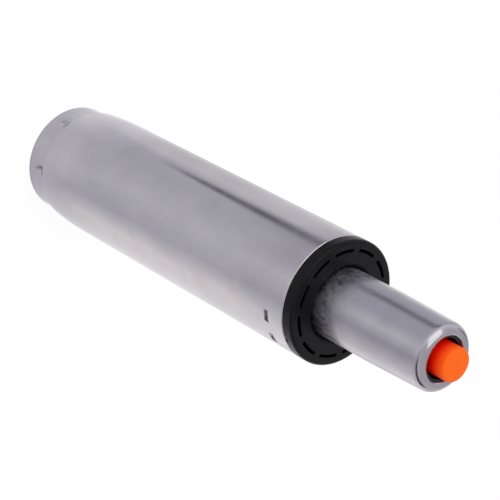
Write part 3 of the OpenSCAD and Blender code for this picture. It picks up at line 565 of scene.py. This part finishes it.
def pressure_tube():
    """Closed profile turned round the axis: straight tube, cone, rolled end, lip round the hole, inside.

    The lip's arc meets the roll's arc where both lean the same way: cosine = distance of their middles across,
    over the difference of the two radii.
    """
    low_r, bore_r, split_z = 3.0, TUBE_R - TUBE_WALL, 170
    low_x = TUBE_R - low_r
    meet = math.degrees(math.acos((HOLE_R + HOLE_LIP - ROLL_X) / (ROLL_R - HOLE_LIP)))
    lip_z = ROLL_Z + (ROLL_R - HOLE_LIP) * math.sin(math.radians(meet))
    profile = np.concatenate([
        arc(low_x, TUBE_Z0 + low_r, low_r, -90, 0, 9),
        refined(line((TUBE_R, 44), (TUBE_R, split_z)), 9)[:-1],
        refined(line((TUBE_R, split_z), (TUBE_R, CONE_Z)), 4),
        refined(line((13.97, CONE_Z + 1.2), (13.36, ROLL_Z - 0.6)), 3),
        arc(ROLL_X, ROLL_Z, ROLL_R, 0, meet, 14),
        arc(HOLE_R + HOLE_LIP, lip_z, HOLE_LIP, meet, 180, 15)[1:],
        line((HOLE_R, lip_z - 0.05)),
        arc(ROLL_X, ROLL_Z, ROLL_R - TUBE_WALL, 90, 0, 9),
        refined(line((bore_r, CONE_Z), (bore_r, 42)), 20),
        arc(low_x, TUBE_Z0 + low_r, low_r - TUBE_WALL, 0, -90, 7),
        line((9.5, TUBE_Z0 + TUBE_WALL), (9.5, TUBE_Z0))])
    return [revolved(profile, 1.5, True)]


def release_button():
    """Cap turned round the axis: pin bore, collar, straight side, rounded edge, crown sunk by a cosine."""
    edge, pin_r, pin_h, sunk, dished = 1.2, 2.55, 6.5, 0.12, 5.2
    rr = np.linspace(BUTTON_R - edge - 0.15, 0, 12)
    crown = np.stack([rr, BUTTON_Z1 - sunk * (1 - np.cos(np.pi * np.clip(1 - rr / dished, 0, 1))) / 2], 1)
    profile = np.concatenate([
        line((0, BUTTON_Z1 - pin_h), (pin_r, BUTTON_Z1 - pin_h), (pin_r, BUTTON_Z0),
             (COLLAR_R - 0.2, BUTTON_Z0), (COLLAR_R, BUTTON_Z0 + 0.2), (COLLAR_R, BUTTON_Z0 + 1.2),
             (COLLAR_R - 0.2, BUTTON_Z0 + 1.4)),
        refined(line((BUTTON_R, BUTTON_Z0 + 1.45), (BUTTON_R, BUTTON_Z1 - edge - 0.05)), 1.2),
        arc(BUTTON_R - edge, BUTTON_Z1 - edge, edge, 0, 90, 9)[1:], crown])
    return [revolved(profile, 3.0, False)]


piece("column_drawn_tube", column_tube(), "column", ["column_tube"], "column_steel", column_shade_and_dirt)
piece("bush_slotted_moulding", guide_bush(), "column", ["guide_bush"], "bush_plastic")
piece("gas_pressure_tube", pressure_tube(), "gas_spring", ["pressure_tube"], "tube_steel")
piece("release_button_cap", release_button(), "release_button", ["release_button"], "button_plastic")

# Carried-over solids take the finish of their own slot.
SLOT_OF = {
    "base_plate": "plate_steel", "bearing_lower_race": "race_steel", "bearing_upper_race": "race_steel",
    "ball_cage": "cage_brass", "bearing_balls": "ball_steel", "piston_rod": "rod_chrome",
    "bumper_washer": "washer_steel", "bumper": "bumper_rubber", "retaining_washer": "washer_steel",
    "retaining_clip": "clip_steel", "piston_washer": "washer_steel", "piston": "guide_bronze",
    "piston_seal": "seal_rubber", "piston_nut": "washer_steel", "end_washer": "washer_steel",
    "rod_guide": "guide_bronze", "rod_seal": "seal_rubber", "seal_backing_washer": "washer_steel",
    "liner_seat": "seat_plastic", "cylinder_liner": "liner_steel", "valve_body": "valve_alloy",
    "valve_head": "valve_alloy", "valve_gland": "valve_alloy", "valve_spacer": "seat_plastic",
    "valve_pin_seals": "seal_rubber", "valve_body_seal": "seal_rubber", "valve_liner_seal": "seal_rubber",
    "valve_pin": "rod_chrome",
}
for node_name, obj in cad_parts.items():
    if node_name in SLOT_OF:
        finish = FINISH[SLOT_OF[node_name]]
        for one in (obj if isinstance(obj, (list, tuple)) else [obj]):
            if not one.material_slots:
                one.data.materials.append(finish)
            for place in one.material_slots:
                place.material = finish


# ---------------------------------------------------------------- studio
# Painted reflections: what the floor shows to reflections alone, by the share of a turn about the axis: close
# round the foot, out to about 0.2 m, and beyond that.
CLOSE_RING = (
    (0.10, (0.92, 0.92, 0.95)), (0.26, (0.90, 0.89, 0.94)), (0.36, (0.76, 0.755, 0.82)),
    (0.55, (0.77, 0.76, 0.83)), (0.66, (0.70, 0.69, 0.76)), (0.86, (0.84, 0.83, 0.86)))
NEAR_RING = (
    (0.00, (0.80, 0.80, 0.80)), (0.16, (0.80, 0.79, 0.83)), (0.225, (0.80, 0.79, 0.83)),
    (0.262, (0.64, 0.635, 0.685)), (0.36, (0.62, 0.615, 0.68)), (0.517, (0.73, 0.725, 0.79)),
    (0.64, (0.62, 0.615, 0.67)), (0.70, (0.84, 0.82, 0.86)), (0.75, (1.05, 1.00, 1.00)),
    (0.90, (1.0, 0.98, 1.0)), (1.0, (0.80, 0.80, 0.80)))
BEYOND_RING = (
    (0.00, (0.92, 0.92, 0.94)), (0.09, (0.90, 0.90, 0.92)), (0.13, (0.66, 0.65, 0.69)),
    (0.244, (0.58, 0.57, 0.65)), (0.43, (0.62, 0.61, 0.69)), (0.52, (0.84, 0.83, 0.88)),
    (0.625, (0.52, 0.51, 0.57)), (0.75, (0.84, 0.82, 0.86)), (0.83, (1.05, 1.01, 1.03)),
    (0.872, (1.05, 1.02, 1.04)), (0.885, (1.32, 1.29, 1.31)), (0.902, (0.74, 0.72, 0.75)),
    (0.94, (0.80, 0.79, 0.82)), (1.0, (0.80, 0.80, 0.82)))
# The dark flag, a dark band painted into the floor's reflections: its direction, its colour, and its strength by
# the distance from the axis in metres.
FLAG_TURN = 0.283
FLAG_COLOUR = (0.17, 0.165, 0.195)
FLAG_STRENGTH = ((0.085, 0), (0.115, 0.92), (0.165, 1), (0.20, 0.74))


def greys(stops):
    """Ramp stops of (position, grey) as stops of (position, colour)."""
    return [(at, (grey,) * 3) for at, grey in stops]


def floor_painted_reflections(tree):
    """Painted reflections: the colour that the floor shows to reflections alone, three rings and one narrow dark
    flag.

    The angle is bent a little by the sine of half of it over the distance from the axis.
    """
    xyz = coordinates(tree)
    far = math_of(tree, "POWER", math_of(tree, "ADD", math_of(tree, "POWER", xyz["X"], 2.0),
                                         math_of(tree, "POWER", xyz["Y"], 2.0)), 0.5)
    place = math_of(tree, "ARCTAN2", xyz["X"], math_of(tree, "MULTIPLY", xyz["Y"], -1.0))
    lean = math_of(tree, "DIVIDE", math_of(tree, "SINE", math_of(tree, "MULTIPLY", place, 0.5)),
                   math_of(tree, "MAXIMUM", far, 0.03))
    around = math_of(tree, "ADD", place, math_of(tree, "MULTIPLY", lean, 0.022))
    turn = span(tree, around, -math.pi, math.pi)
    outer = blend(tree, span(tree, far, 0.175, 0.225), ramp(tree, turn, *NEAR_RING),
                  ramp(tree, turn, *BEYOND_RING))
    lift = ramp(tree, far, (0.212, (1, 1, 1)), (0.232, (1.10, 1.10, 1.10)))
    lifted = blend(tree, 1.0, outer, lift, "MULTIPLY")
    glow = blend(tree, span(tree, far, 0.035, 0.065), ramp(tree, turn, *CLOSE_RING), lifted)
    aside = math_of(tree, "ABSOLUTE", math_of(tree, "SUBTRACT", turn, FLAG_TURN))
    half = span(tree, far, 0.10, 0.20, 0.011, 0.025)
    flag = span(tree, math_of(tree, "DIVIDE", aside, half), 0.35, 1.6, 1.0, 0.0)
    shade = math_of(tree, "MULTIPLY", flag, ramp(tree, far, *greys(FLAG_STRENGTH)))
    return blend(tree, shade, glow, FLAG_COLOUR)


def mixed_shader(tree, factor, first, second):
    """Mix of two shaders by a factor that is a socket or a number."""
    node = add(tree, "ShaderNodeMixShader")
    if isinstance(factor, float):
        node.inputs["Fac"].default_value = factor
    else:
        tree.links.new(factor, node.inputs["Fac"])
    tree.links.new(first, node.inputs[1])
    tree.links.new(second, node.inputs[2])
    return node.outputs[0]


def floor_material():
    """White floor: plain white to the camera with the shadow kept, and painted reflections, a glow that only
    reflections see.
    """
    mat, tree, _ = new_material("studio_floor")
    tree.nodes.clear()
    out = add(tree, "ShaderNodeOutputMaterial")
    path = add(tree, "ShaderNodeLightPath")
    plain = add(tree, "ShaderNodeBsdfDiffuse")
    plain.inputs["Color"].default_value = (0.8, 0.8, 0.8, 1)
    white = add(tree, "ShaderNodeEmission")
    white.inputs["Strength"].default_value = 1.06
    mirror = add(tree, "ShaderNodeEmission")
    # This emission paints the reflections: only glossy and transmission rays see it.
    tree.links.new(floor_painted_reflections(tree), mirror.inputs["Color"])
    seen = mixed_shader(tree, 0.85, plain.outputs[0], white.outputs[0])
    by_camera = mixed_shader(tree, path.outputs["Is Camera Ray"], plain.outputs[0], seen)
    by_gloss = mixed_shader(tree, math_of(tree, "MAXIMUM", path.outputs["Is Glossy Ray"],
                                          path.outputs["Is Transmission Ray"]), by_camera, mirror.outputs[0])
    tree.links.new(by_gloss, out.inputs["Surface"])
    return mat


def studio_floor():
    """One large level square, a hair below the foot; in metres."""
    half, below = 4.0, 0.0002
    side = np.array([-half, half])
    x, y = np.meshgrid(side, side, indexing="ij")
    points, quads = patch(np.stack([x, y, np.full_like(x, -below)], -1))
    mesh = bpy.data.meshes.new("studio_floor")
    mesh.from_pydata(points.tolist(), [], quads.tolist())
    mesh.materials.append(floor_material())
    obj = bpy.data.objects.new("studio_floor", mesh)
    bpy.context.scene.collection.objects.link(obj)


# How bright the surroundings are in reflections, by the share of a turn and by the height; the brighter counts.
WORLD_TURN = ((0.22, 1), (0.33, 0.5), (0.40, 0), (0.58, 0), (0.64, 0.85), (0.72, 0.85), (0.77, 0.25),
              (0.83, 0.25), (0.89, 1))
WORLD_RISE = ((0.0, 1), (0.02, 0), (0.26, 0), (0.40, 1))


def studio_world():
    """Pale surroundings: white to the camera, less to matt surfaces, with dark parts to reflections."""
    world = bpy.data.worlds.new("studio_world")
    bpy.context.scene.world = world
    world.use_nodes = True
    tree = world.node_tree
    back = tree.nodes["Background"]
    path = add(tree, "ShaderNodeLightPath")
    seen = math_of(tree, "MAXIMUM", path.outputs["Is Camera Ray"],
                   math_of(tree, "MAXIMUM", path.outputs["Is Glossy Ray"],
                           path.outputs["Is Transmission Ray"]))
    tree.links.new(span(tree, seen, 0, 1, 0.7, 1.0), back.inputs["Strength"])
    xyz = coordinates(tree, "Generated")
    rise = ramp(tree, xyz["Z"], *greys(WORLD_RISE))
    turn = span(tree, math_of(tree, "ARCTAN2", xyz["Y"], xyz["X"]), -math.pi, math.pi)
    open_part = math_of(tree, "MAXIMUM", rise, ramp(tree, turn, *greys(WORLD_TURN)))
    high = span(tree, xyz["Z"], 0.3, 0.6, 1.0, 0.7)
    level = math_of(tree, "MULTIPLY", span(tree, open_part, 0, 1, 0.04, 0.99), high)
    pick = math_of(tree, "MAXIMUM", level, math_of(tree, "SUBTRACT", 1.0, path.outputs["Is Glossy Ray"]))
    colour = ramp(tree, pick, (0, (0, 0, 0)), (0.992, (0.965, 0.935, 1.0)), (1, (1, 1, 1)))
    tree.links.new(colour, back.inputs["Color"])


def softbox(name, place, aim, size, power, mirrored=True):
    """Square area lamp at a place that shines at a point; mirrored lets bright metal show it."""
    data = bpy.data.lights.new(name, "AREA")
    data.size = size
    data.energy = power
    obj = bpy.data.objects.new(name, data)
    bpy.context.scene.collection.objects.link(obj)
    obj.location = place
    obj.rotation_euler = (Vector(aim) - Vector(place)).to_track_quat("-Z", "Y").to_euler()
    obj.visible_glossy = mirrored


def camera():
    """Camera that looks down at the standing lift and is turned about its own axis."""
    lift, roll, far = 0.7517, 2.0663, 0.6788
    aim_z, shift_x, shift_y = 0.16635, -0.03014, 0.01773
    lens_px, photo_px = 1828.7, 500
    back = Vector((0, -math.cos(lift), math.sin(lift)))
    up = Vector((0, math.sin(lift), math.cos(lift)))
    right = Vector((1, 0, 0))
    across = right * math.cos(roll) + up * math.sin(roll)
    high = up * math.cos(roll) - right * math.sin(roll)
    place = Vector((0, 0, aim_z)) + back * far + across * shift_x + high * shift_y
    data = bpy.data.cameras.new("camera")
    data.sensor_fit = "HORIZONTAL"
    data.sensor_width = 36
    data.lens = lens_px * data.sensor_width / photo_px
    data.clip_start = 0.05
    data.clip_end = 20
    obj = bpy.data.objects.new("camera", data)
    bpy.context.scene.collection.objects.link(obj)
    obj.matrix_world = Matrix.Translation(place) @ Matrix((across, high, back)).transposed().to_4x4()
    bpy.context.scene.camera = obj


studio_floor()
studio_world()
softbox("overhead_softbox", (-0.65, -0.5, 1.05), (0, 0, 0.2), 1.1, 3.6)
softbox("overhead_fill", (-0.5, -0.55, 1.2), (0, 0, 0.2), 1.8, 3.8, False)
softbox("front_softbox", (0.8, -1.0, 0.9), (0, 0, 0.12), 1.1, 2.4, False)
camera()
bpy.context.scene.view_settings.view_transform = "Standard"
